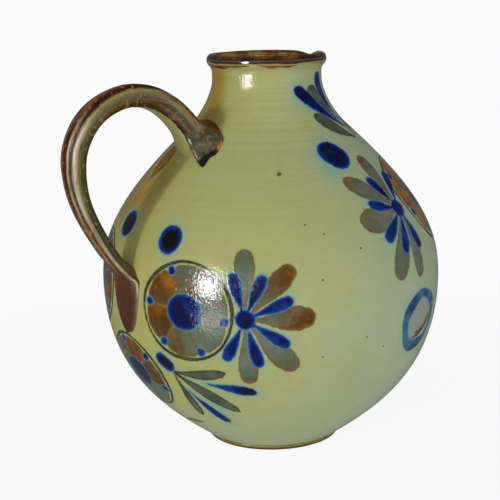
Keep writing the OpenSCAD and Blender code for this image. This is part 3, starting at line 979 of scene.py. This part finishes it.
def rgb(red, green, blue):
    """A colour as its eye-value from 0 to 255, turned into the linear light that the shader wants."""
    linear = [(c / 255 / 12.92) if c <= 10.3 else ((c / 255 + 0.055) / 1.055) ** 2.4
              for c in (red, green, blue)]
    return (*linear, 1.0)


def give(material, *pieces):
    """Puts one material on some pieces."""
    for piece in pieces:
        piece.data.materials.append(material)


# %% [markdown]
# The glaze over the wall is a celadon: khaki on the handle's side, paler and cooler near the foot
# and on the lip's side, where milky patches float in it, which are partly painted highlight, a soft
# sheen of light. It turns amber near the handle and brown on the lip's side, partly the glaze's own
# colour and partly painted shade that darkens the left and right edges of the jug as the camera
# sees it. Fine throwing lines show through it near the neck. The same ground goes under the rim
# and inside the handle, so it is one function.


# %% Celadon ground
across_x, across_y = 0.766, -0.643


def celadon_ground(g, spot):
    """Colour of the bare glaze, its mottle and its throwing lines as numbers from 0 to 1, and the
    height. The side is measured across the photographer's view, from the handle to the lip."""
    x, y, z = g.axes(spot)
    soft, radius = g.noise(spot, 9, 2), g.length(g.place((1, 1, 0)))
    side = x * across_x + y * across_y + (soft - 0.5) * 0.16
    # Painted shade: amber, partly the glaze's own colour, darkens the left edge of the view on the
    # shoulder and neck, where the handle's shadow falls.
    amber_painted_shade = (side / radius).fade(-0.50, -0.98) * z.fade(0.125, 0.155, 0.0, 0.85)
    # Painted shade: a brown flush on the lip's side, partly the glaze's own colour, darkens the right
    # edge of the view above the belly.
    brown_flush_shade = (x / radius).fade(0.62, 0.78) * z.fade(0.10, 0.135, 0.0, 0.72)
    # Milky patches on the side away from the handle: partly the glaze's own milkiness, partly painted
    # highlight standing in for a soft sheen of light.
    milky_haze_sheen = g.noise(spot, 17, 2).fade(0.42, 0.62, 0.0, 0.55) * side.fade(0.0, 0.05)
    lines, mottle = g.noise(g.place((10, 10, 700)), 1.0, 2), g.noise(spot, 130, 3)
    glaze = g.coats(
        g.mix(side.fade(-0.085, 0.105), (163, 161, 92), (157, 170, 138)),
        ((z + soft * 0.05).fade(0.085, 0.02), (168, 178, 146)),
        (z.fade(0.17, 0.235, 0.0, 0.45), (168, 164, 92)),
        # The amber and the brown flush are partly painted shade, and the haze is partly painted
        # highlight.
        (amber_painted_shade, (144, 116, 20)), (brown_flush_shade, (104, 74, 26)),
        (lines.fade(0.35, 0.7) * z.fade(0.12, 0.20, 0.03, 0.14), (126, 120, 58)),
        (milky_haze_sheen, (162, 174, 146)), (mottle.fade(0.35, 0.75, 0.0, 0.12), (180, 184, 146)))
    return glaze, mottle, lines, z


# %% [markdown]
# The pigments lie under the glaze: cobalt with a bright edge, a turquoise halo and a near-black
# middle, iron with a brown edge and a grey-green or mauve middle, and a dark green for leaves
# and rings. Where pigment lies, the glaze is glossier and stands a little higher.


# %% Painting over the celadon
celadon_gloss, rim_gloss, foot_gloss = (1.5, 0.24), (1.5, 0.45), (1.45, 0.35)
petal_bands = [(0.0, (106, 112, 100)), (0.20, (90, 104, 90)), (0.38, (88, 92, 70)),
               (0.52, (92, 74, 46)), (0.66, (84, 56, 26)), (0.80, (96, 58, 16)),
               (0.92, (128, 76, 12)), (1.0, (150, 94, 18))]
specks = [(-125, 207, 1.5), (-117.4, 173.6, 0.7), (-98.8, 157, 0.7), (-113.7, 141.7, 0.65),
          (-98.5, 105.4, 0.6), (-91, 97.3, 0.6), (-113.7, 96.8, 0.6), (-111.2, 167.4, 0.6),
          (60, 160, 0.8), (118, 140, 0.7), (15, 120, 0.7)]


def paint_stains(g, glaze, mottle):
    """Teal stains, where cobalt and copper have run into the glaze round the strokes."""
    soft = (mottle - 0.5) * 6.0
    return g.coats(glaze, ((g.field("stain") + soft).fade(6.5, -8.0, 0.0, 0.55), (112, 160, 140)),
                   ((g.field("cobalt") + soft).fade(7.5, 0.0, 0.0, 0.30), (112, 162, 146)))


def paint_cobalt(g, glaze, patch, wobble):
    """Halo, edge and depth of the cobalt, from its distance field."""
    cobalt, load = g.field("cobalt") + wobble, g.field("cobalt_tone")
    tone = g.coats(
        g.mix(cobalt.fade(-0.2, -1.8), (14, 64, 138), (5, 12, 84)),
        (patch.fade(0.48, 0.62, 0.0, 0.70), (3, 2, 40)),
        (patch.fade(0.46, 0.34, 0.0, 0.50), (22, 60, 138)),
        (cobalt.fade(-1.2, -3.8) * load.fade(0.4, 1.0), (5, 1, 8)),
        (load.fade(-0.3, -0.9), g.mix(patch.fade(0.42, 0.60), (60, 104, 138), (30, 62, 110))))
    return g.coats(glaze, (cobalt.fade(1.3, 0.0, 0.0, 0.65), (72, 126, 150)),
                   (cobalt.fade(0.40, -0.40, 0.0, 0.98), tone)), cobalt


def paint_iron(g, glaze, spot, patch, wobble):
    """Petals: grey-green or mauve in the middle, brown where the pigment is thick and at the edge."""
    iron, cloud = g.field("iron") + wobble, g.noise(spot, 85, 3, 0.6)
    brownness = g.field("iron_tone") + (patch - 0.5) * 0.9
    tone = g.coats(
        g.bands(brownness, petal_bands),
        (cloud.fade(0.46, 0.60, 0.0, 0.60) * brownness.fade(0.60, 0.30), (74, 98, 84)),
        (cloud.fade(0.45, 0.33, 0.0, 0.40) * brownness.fade(0.90, 0.55), (124, 102, 88)),
        (cloud.fade(0.48, 0.62, 0.0, 0.65) * brownness.fade(0.50, 0.75), (62, 34, 12)),
        (g.noise(spot, 330, 3, 0.65).fade(0.52, 0.72, 0.0, 0.30), (62, 50, 30)),
        (iron.fade(-2.2, -0.2) * patch.fade(0.30, 0.60, 0.35, 0.85), (112, 84, 44)))
    return g.coats(glaze, (iron.fade(0.9, 0.0, 0.0, 0.35), (140, 126, 66)),
                   (iron.fade(0.35, -0.35, 0.0, 0.97), tone)), iron


def paint_green(g, glaze, mottle, wobble):
    """Leaves and drawn rings: dark grey-green, darkest along the edge of the stroke."""
    green = g.field("green") + wobble * 0.6
    middle = g.mix(mottle.fade(0.35, 0.65), (60, 76, 60), (88, 94, 76))
    return g.coats(glaze, (green.fade(0.9, -0.2, 0.0, 0.40), (104, 126, 92)),
                   (green.fade(0.35, -0.35), g.mix(green.fade(-1.3, -0.2), middle, (42, 48, 28))))


def iron_specks(g, glaze, spot):
    """A few brown specks, each a small ball round a place on the wall (degrees, millimetres up it)."""
    nearest = 9.0
    for degrees, height_up, size in specks:
        r, z = (np.interp(height_up * MM, outer_arc, outer_wall[:, k]) for k in (0, 1))
        centre = (r * math.cos(math.radians(degrees)), r * math.sin(math.radians(degrees)), z)
        away = g.value("VectorMath", {0: spot, 1: centre}, "Value", operation="DISTANCE")
        nearest = (away * (1 / (size * MM))).least(nearest)
    return g.mix(nearest.fade(1.3, 0.6, 0.0, 0.85), glaze, (84, 48, 20))


def celadon():
    """The wall's glaze with its painting, read from the mesh's fields."""
    g = Graph(bpy.data.materials.new("celadon_glaze_painted"))
    spot = g.place()
    glaze, mottle, lines, height = celadon_ground(g, spot)
    patch, wobble = g.noise(spot, 70, 4, 0.6), (g.noise(spot, 420, 3) - 0.5) * 1.3
    glaze = g.mix(g.field("wash").fade(0.8, -0.8, 0.0, 0.8), glaze, (132, 142, 132))
    glaze = paint_green(g, paint_stains(g, glaze, mottle), mottle, wobble)
    glaze, iron = paint_iron(g, glaze, spot, patch, wobble)
    glaze, cobalt = paint_cobalt(g, glaze, patch, wobble)
    glaze = g.mix(height.fade(0.0046, 0.0034), iron_specks(g, glaze, spot), (120, 108, 54))
    pigment = cobalt.fade(0.6, -0.4).most(iron.fade(0.5, -0.4))
    rough = mottle.fade(0.3, 0.7, 0.11, 0.17) - pigment * 0.05
    peel = g.noise(spot, 560, 3) * pigment.fade(0.0, 1.0, 0.85, 1.0)
    peel *= height.fade(0.172, 0.190, 1.0, 1.7)
    bumps = [(lines, 0.00018, 0.25), (peel, 0.00050, 0.40), (pigment, 0.00012, 0.4)]
    return g.finish(glaze, rough, bumps, celadon_gloss)


give(celadon(), belly_shell, shoulder_shell, neck_shell)

# %% [markdown]
# The iron glaze on the handle breaks: it is thin and tan on every ridge, thick and dark in every
# groove. The pale and cream stops on the ridges are partly that thin glaze and partly painted
# highlight, the light that the ridges catch. The painter wiped it along the ribs, so its colours lie
# in bands. They are placed round the outline by how far a point is from the outer crest, 0, towards
# the middle of the inner face, 0.5, and shifted by soft noise. Dark streaks lie over them, from
# noise that is stretched along the strap. The inner face was left with plain celadon.


# %% Iron glaze of the handle
red_brown, dark_brown, umber, rust = (66, 22, 4), (52, 36, 20), (72, 56, 22), (104, 70, 36)
# Pale and cream are partly thin glaze and partly painted highlight on the ridges. In every band list
# below, the palest stop on a ridge or on the tongue's raised edge is partly painted highlight.
pale_break_and_sheen, cream_break_and_highlight, tan, golden = (164, 142, 118), (192, 184, 164), (148, 132, 84), (98, 72, 18)
mauve_grey, grey_green, slate, black = (104, 92, 86), (84, 86, 56), (70, 74, 54), (38, 32, 14)

outer_bands = [(0.0, red_brown), (0.020, red_brown), (0.042, pale_break_and_sheen), (0.068, dark_brown),
               (0.115, mauve_grey), (0.160, cream_break_and_highlight), (0.205, tan), (0.250, grey_green),
               (0.295, umber), (0.390, black)]
low_bands = [(0.0, umber), (0.046, (138, 116, 80)), (0.076, (78, 52, 18)), (0.135, rust),
             (0.182, (182, 162, 136)), (0.212, (132, 130, 102)), (0.243, (56, 58, 36)), (0.270, slate),
             (0.315, (54, 56, 32)), (0.400, black)]
top_bands = [(0.0, (124, 94, 64)), (0.045, red_brown), (0.120, dark_brown), (0.165, (142, 129, 94)),
             (0.200, (126, 116, 64)), (0.245, (98, 92, 70)), (0.300, golden), (0.335, (66, 46, 14)),
             (0.390, black)]
root_bands = [(0.0, (96, 70, 24)), (0.185, (84, 68, 34)), (0.215, (136, 108, 68)),
              (0.250, (134, 120, 92)), (0.295, slate), (0.340, (106, 86, 66)),
              (0.385, (58, 50, 36)), (0.410, black)]
tongue_bands = [(0.0, (84, 48, 22)), (0.050, (82, 50, 26)), (0.100, (94, 70, 46)),
                (0.150, (116, 96, 70)), (0.190, (182, 168, 136)), (0.218, (122, 114, 80)),
                (0.236, (66, 52, 22)), (0.270, (84, 70, 40)), (0.400, (110, 100, 56))]


def collar_colour(g, along, off_crest, place, patches, flecks):
    """Mottled red-brown above, grey with tan flecks below, near-black along the lower edge: partly
    glaze pooled in the crease, partly painted shade, under a cream line of painted highlight.
    """
    # Painted shade and highlight: the lower edge goes near-black in the crease, and the glint is a
    # painted highlight line above it.
    edge = g.mix(off_crest.fade(0.22, 0.30), (96, 44, 14), (30, 26, 14))
    painted_glint = off_crest.fade(0.18, 0.20) * off_crest.fade(0.26, 0.24, 0.0, 0.75)
    painted_glint *= patches.fade(0.46, 0.56)
    return g.coats(
        g.mix(patches.fade(0.38, 0.62), (62, 66, 50), (116, 100, 74)),
        (flecks.fade(0.52, 0.70, 0.0, 0.4), (146, 118, 84)),
        (place.fade(0.20, 0.12), g.mix(patches.fade(0.42, 0.58), (92, 38, 8), (50, 24, 10))),
        ((along + (patches - 0.5) * 0.03).fade(0.048, 0.038), g.mix(painted_glint, edge, (196, 150, 100))))


def handle_iron():
    """Bands round the outline of collar, strap and tongue, from the strip coordinates."""
    g = Graph(bpy.data.materials.new("iron_glaze_wiped"))
    strip, spot = g.add("UVMap", uv_map="strip").outputs[0], g.place()
    along, around, _ = g.axes(strip)
    streaks = g.noise(g.stretched(strip, (14, 46, 1)), 1.0, 4, 0.62)
    patches, flecks = g.noise(spot, 90, 4, 0.65), g.noise(spot, 360, 3, 0.6)
    off_crest = (around - 0.5).without_sign()
    place = off_crest + (patches - 0.5) * 0.024
    strap = g.coats(
        g.bands(place, top_bands), (along.fade(0.47, 0.58), g.bands(place, outer_bands)),
        (along.fade(0.80, 0.88), g.bands(place, low_bands)),
        (along.fade(0.30, 0.22), g.bands(place, root_bands)),
        (streaks.fade(0.54, 0.64, 0.0, 0.68), (36, 22, 12)),
        (flecks.fade(0.56, 0.68, 0.0, 0.50), (178, 138, 88)))
    tongue = g.coats(
        g.bands(place - along.fade(1.01, 1.06, 0.0, 0.035), tongue_bands),
        (patches.fade(0.42, 0.62, 0.0, 0.60), (98, 48, 14)),
        (flecks.fade(0.48, 0.34, 0.0, 0.45), (40, 22, 10)),
        (along.fade(1.02, 1.06, 0.0, 0.45), (58, 32, 12)))
    inner = (off_crest + (flecks - 0.5) * 0.05).fade(0.425, 0.440) * along.fade(0.93, 0.88)
    far_lobe = around.fade(0.25, 0.18) * along.fade(0.150, 0.115)
    colour = g.coats(
        strap, (along.fade(0.150, 0.110), collar_colour(g, along, off_crest, place, patches, flecks)),
        (along.fade(0.955, 1.0), tongue), (inner.most(far_lobe), celadon_ground(g, spot)[0]))
    bumps = [(streaks, 0.0009, 0.40), (flecks, 0.0004, 0.30)]
    return g.finish(colour, patches.fade(0.3, 0.7, 0.14, 0.26), bumps, celadon_gloss)


give(handle_iron(), collar_roll, strap_ribbed, tongue_leaf)

# %% [markdown]
# On the rim the same glaze lies thick. It is near-black and glossy on the outer roll, thins to
# amber over the top and inside, and ends in red-brown runs on the celadon below.


# %% Iron glaze of the rim
def rim_iron():
    """Amber above, near-black at the widest, red-brown runs below, celadon between these."""
    g = Graph(bpy.data.materials.new("iron_glaze_rim"))
    spot = g.place()
    height, radius = g.axes(spot)[2], g.length(g.place((1, 1, 0)))
    patches = g.noise(spot, 75, 4, 0.6)
    level = height + (patches - 0.5) * 0.003 - rim_seat_z
    # A grey-blue band round the outer roll: partly the iron glaze's bloom, partly painted reflection
    # of a bright window.
    bloom_and_reflection = height.fade(rim_seat_z + 0.0086, rim_seat_z + 0.0080)
    bloom_and_reflection *= height.fade(rim_seat_z + 0.0070, rim_seat_z + 0.0076, 0.0, 0.45)
    runs_brown = g.mix(g.noise(spot, 260, 3).fade(0.42, 0.60), (92, 44, 10), (124, 76, 26))
    colour = g.coats(
        g.mix(patches.fade(0.46, 0.66), (84, 46, 8), (118, 80, 24)),
        (level.fade(0.0102, 0.0088), g.mix(patches.fade(0.42, 0.62), (34, 30, 24), (62, 36, 12))),
        (bloom_and_reflection, (84, 92, 94)), (level.fade(0.0060, 0.0052), runs_brown),
        (level.fade(0.0066, 0.0060) * level.fade(0.0050, 0.0055) * 0.75, (168, 152, 96)),
        (radius.fade(rim_r - 0.6 * roll_w, rim_r - roll_w, 0.0, 0.85),
         g.mix(patches.fade(0.40, 0.58), (108, 72, 14), (154, 138, 82))))
    ground, mottle, _, _ = celadon_ground(g, spot)
    run = g.field("run") + (g.noise(spot, 380, 3) - 0.5) * 0.9
    thin = g.mix(mottle.fade(0.4, 0.6), (190, 182, 132), (160, 146, 78))
    colour = g.coats(ground, (run.fade(0.9, 0.2, 0.0, 0.7), thin), (run.fade(0.2, -0.2), colour))
    bumps = [(patches, 0.0005, 0.3), (g.noise(spot, 420, 3), 0.00015, 0.3)]
    return g.finish(colour, patches.fade(0.3, 0.7, 0.08, 0.15), bumps, rim_gloss)


give(rim_iron(), rim_roll)

# %% [markdown]
# The foot's side is glazed down to a hair above the ground. Its standing face was wiped, so the
# clay shows there as a thin dark line.


# %% Foot
def foot_clay():
    """Olive glaze that thins downwards, then wiped clay with a brown skin and fine grit."""
    g = Graph(bpy.data.materials.new("bare_clay_wiped"))
    spot = g.place()
    height, patches, grit = g.axes(spot)[2], g.noise(spot, 60, 4, 0.6), g.noise(spot, 900, 2)
    level = height + (patches - 0.5) * 0.0010
    colour = g.coats(
        g.mix(patches.fade(0.4, 0.6), (146, 142, 78), (128, 110, 50)),
        (level.fade(0.0025, 0.0018), (108, 78, 30)), (level.fade(0.0017, 0.0010), (66, 50, 20)),
        (height.fade(0.0002, 0.0), (142, 116, 78)), (grit.fade(0.62, 0.75, 0.0, 0.4), (150, 124, 86)))
    return g.finish(colour, level.fade(0.0021, 0.0010, 0.25, 0.65), [(grit, 0.0002, 0.4)], foot_gloss)


give(foot_clay(), foot_band)

# %% [markdown]
# The jug stands on a wide white floor under soft light. The floor and the far background are white
# to the camera and dimmer in the gloss, and the floor still takes the jug's shadow.

# %% Floor
floor_rings, floor_turns, shown_white, seen_in_gloss = (0.35, 1.4, 12.0), 96, 0.965, 0.16
pale_paint, white, full_white = (0.90, 0.90, 0.90, 1), (0.93, 0.93, 0.93, 1), (1, 1, 1, 1)


def seen(g):
    """1 for rays from the camera, and for reflected and refracted ones; and how white the room is to
    them, which is dimmer in the gloss."""
    path = g.add("LightPath").outputs
    to_camera = Value(g, path["Is Camera Ray"])
    shown = to_camera.most(path["Is Glossy Ray"]).most(path["Is Transmission Ray"])
    return shown, to_camera.fade(0.0, 1.0, seen_in_gloss, 1.0)


def join(g, share, under, over, output):
    """Mixes two shaders by a share and leads them to the output."""
    both = g.add("MixShader", {0: share, 1: under.outputs[0], 2: over.outputs[0]})
    g.add(output, {"Surface": both.outputs[0]})
    return g.owner


def floor_white():
    """White paint, brightened for what is seen, with the shadow kept."""
    g = Graph(bpy.data.materials.new("studio_white"))
    spot = g.place()
    paint = g.add("BsdfDiffuse", {"Color": g.mix(g.noise(spot, 3, 2), pale_paint, white)})
    shown, level = seen(g)
    glow = g.add("Emission", {"Color": full_white, "Strength": level * shown_white})
    share = shown * g.length(spot).fade(0.13, 0.50, 0.95, 1.0)
    return join(g, share, paint, glow, "OutputMaterial")


floor_rows = len(floor_rings)
floor_net = turned(np.array([[r, 0.0] for r in floor_rings]), floor_turns).reshape(-1, 3)
floor_faces = net_faces(floor_rows, floor_turns)[:, ::-1].tolist()
floor_mesh = bpy.data.meshes.new("studio_floor")
floor_mesh.from_pydata([*floor_net.tolist(), [0, 0, 0]], [],
                       floor_faces + fan(row_of(0, floor_turns), floor_rows * floor_turns))
studio_floor = new_object("studio_floor", floor_mesh)
give(floor_white(), studio_floor)
print("floor radius", floor_rings[-1], "m")

# %% [markdown]
# The room round the jug is even for its fill light. The eye and the gloss see a white horizon and
# a dim ceiling instead, and the gloss sees the room darker than the eye does.


# %% World
def studio_world(fill=0.24, ceiling=0.22):
    """An even surround for the jug's fill light. Where it is seen, straight or in the gloss, it is
    white round the horizon, as the floor is, and darkens upwards to a dim ceiling."""
    g = Graph(bpy.data.worlds.new("studio_surround"))
    height = g.axes(g.add("TexCoord").outputs["Generated"])[2]
    plain = g.add("Background", {"Color": full_white, "Strength": fill})
    shown, level = seen(g)
    white_level = level * height.fade(0.05, 0.55, shown_white, ceiling)
    bright = g.add("Background", {"Color": full_white, "Strength": white_level})
    return join(g, shown, plain, bright, "OutputWorld")


bpy.context.scene.world = studio_world()

# %% [markdown]
# The main light stands to the left of the camera, in line with the handle, and throws the
# handle's shadow onto the shoulder. Two broad soft lights fill in, and one on the table, facing
# up, gives the light that a white table throws back. These four don't show in the gloss. The
# two windows and a low, dim curtain only show there. The windows are the broken white light on
# the rosette and on the neck.

# %% Lamps
camera_side = math.radians(-130)
aim = np.array([0, 0, 0.12])


def lamp(name, left, height, distance, width, tall, power, colour=(1, 1, 1)):
    """A soft rectangular lamp, some degrees left of the camera as seen from the jug, turned to it."""
    data = bpy.data.lights.new(name, "AREA")
    data.shape, data.size, data.size_y = "RECTANGLE", width, tall
    data.energy, data.color = power, colour
    obj = new_object(name, data)
    turn, lift = camera_side - math.radians(left), math.radians(height)
    level, lifted = toward(turn) * math.cos(lift), math.sin(lift)
    place = aim + distance * np.array([*level, lifted])
    obj.location = place
    obj.rotation_mode = "QUATERNION"
    way = Vector(aim - place)
    obj.rotation_quaternion = way.to_track_quat("-Z", "Y")
    return obj


key = lamp("key", 46, 20, 1.6, 0.12, 0.12, 8.4, (1.0, 0.97, 0.90))
front_fill = lamp("front_fill", 8, 30, 1.8, 1.0, 0.7, 8.4, (1.0, 0.99, 0.96))
right_fill = lamp("right_fill", -53, 12, 1.8, 1.0, 0.7, 8.2, (0.97, 0.99, 1.0))
window = lamp("window", 40, 5, 1.6, 0.31, 0.60, 42.0)
curtain = lamp("curtain", 34, -20, 0.34, 0.085, 0.08, 0.24)
second_window = lamp("second_window", 14, 8, 1.9, 0.07, 0.16, 1.8)
table = lamp("table", 0, -89.9, 0.1195, 0.8, 0.8, 0.55)
for soft in (key, front_fill, right_fill, table):
    soft.visible_glossy = False
for bright in (window, curtain, second_window):
    bright.visible_diffuse = False
print("lamps:", key.name, front_fill.name, right_fill.name, table.name, window.name, curtain.name,
      second_window.name)

# %% [markdown]
# The camera stands where the photographer stood, 0.8 m from the jug's axis and a little above it,
# with the view tipped down, and it leans by just over a degree, as the photograph does.

# %% Camera
camera_away, camera_up = 0.7995, 0.28404
focal_pixels, picture_pixels, film_width = 1303.09, 500, 36
tip_down, swing, lean = -0.2053, -0.0157, 0.0224
turn_to_row = math.radians(-40)


def row_frame(vector):
    """Turns a vector from the camera's own frame, which looks along +Y, into the jug's."""
    x, y, z = vector
    c, s = math.cos(turn_to_row), math.sin(turn_to_row)
    return Vector((x * c - y * s, x * s + y * c, z))


cos_swing, sin_swing = math.cos(swing), math.sin(swing)
cos_tip, sin_tip = math.cos(tip_down), math.sin(tip_down)
right = np.array([cos_swing, -sin_swing, 0])
ahead = np.array([sin_swing * cos_tip, cos_swing * cos_tip, sin_tip])
above = np.array([-sin_swing * sin_tip, -cos_swing * sin_tip, cos_tip])
camera_x = row_frame(right * math.cos(lean) - above * math.sin(lean))
camera_y = row_frame(right * math.sin(lean) + above * math.cos(lean))
camera_z = row_frame(-ahead)

camera_data = bpy.data.cameras.new("camera")
camera_data.sensor_width = film_width
camera_data.lens = focal_pixels / picture_pixels * film_width
camera = new_object("camera", camera_data)
turning = Matrix((camera_x, camera_y, camera_z)).transposed().to_4x4()
camera.matrix_world = Matrix.Translation(row_frame((0, -camera_away, camera_up))) @ turning
bpy.context.scene.camera = camera
print("camera at", [round(x, 3) for x in camera.location], "with a lens of",
      round(camera_data.lens, 1), "mm")

# %% [markdown]
# The colours are shown as they are, with no film look over them.

# %% Colour management
bpy.context.scene.view_settings.view_transform = "Standard"
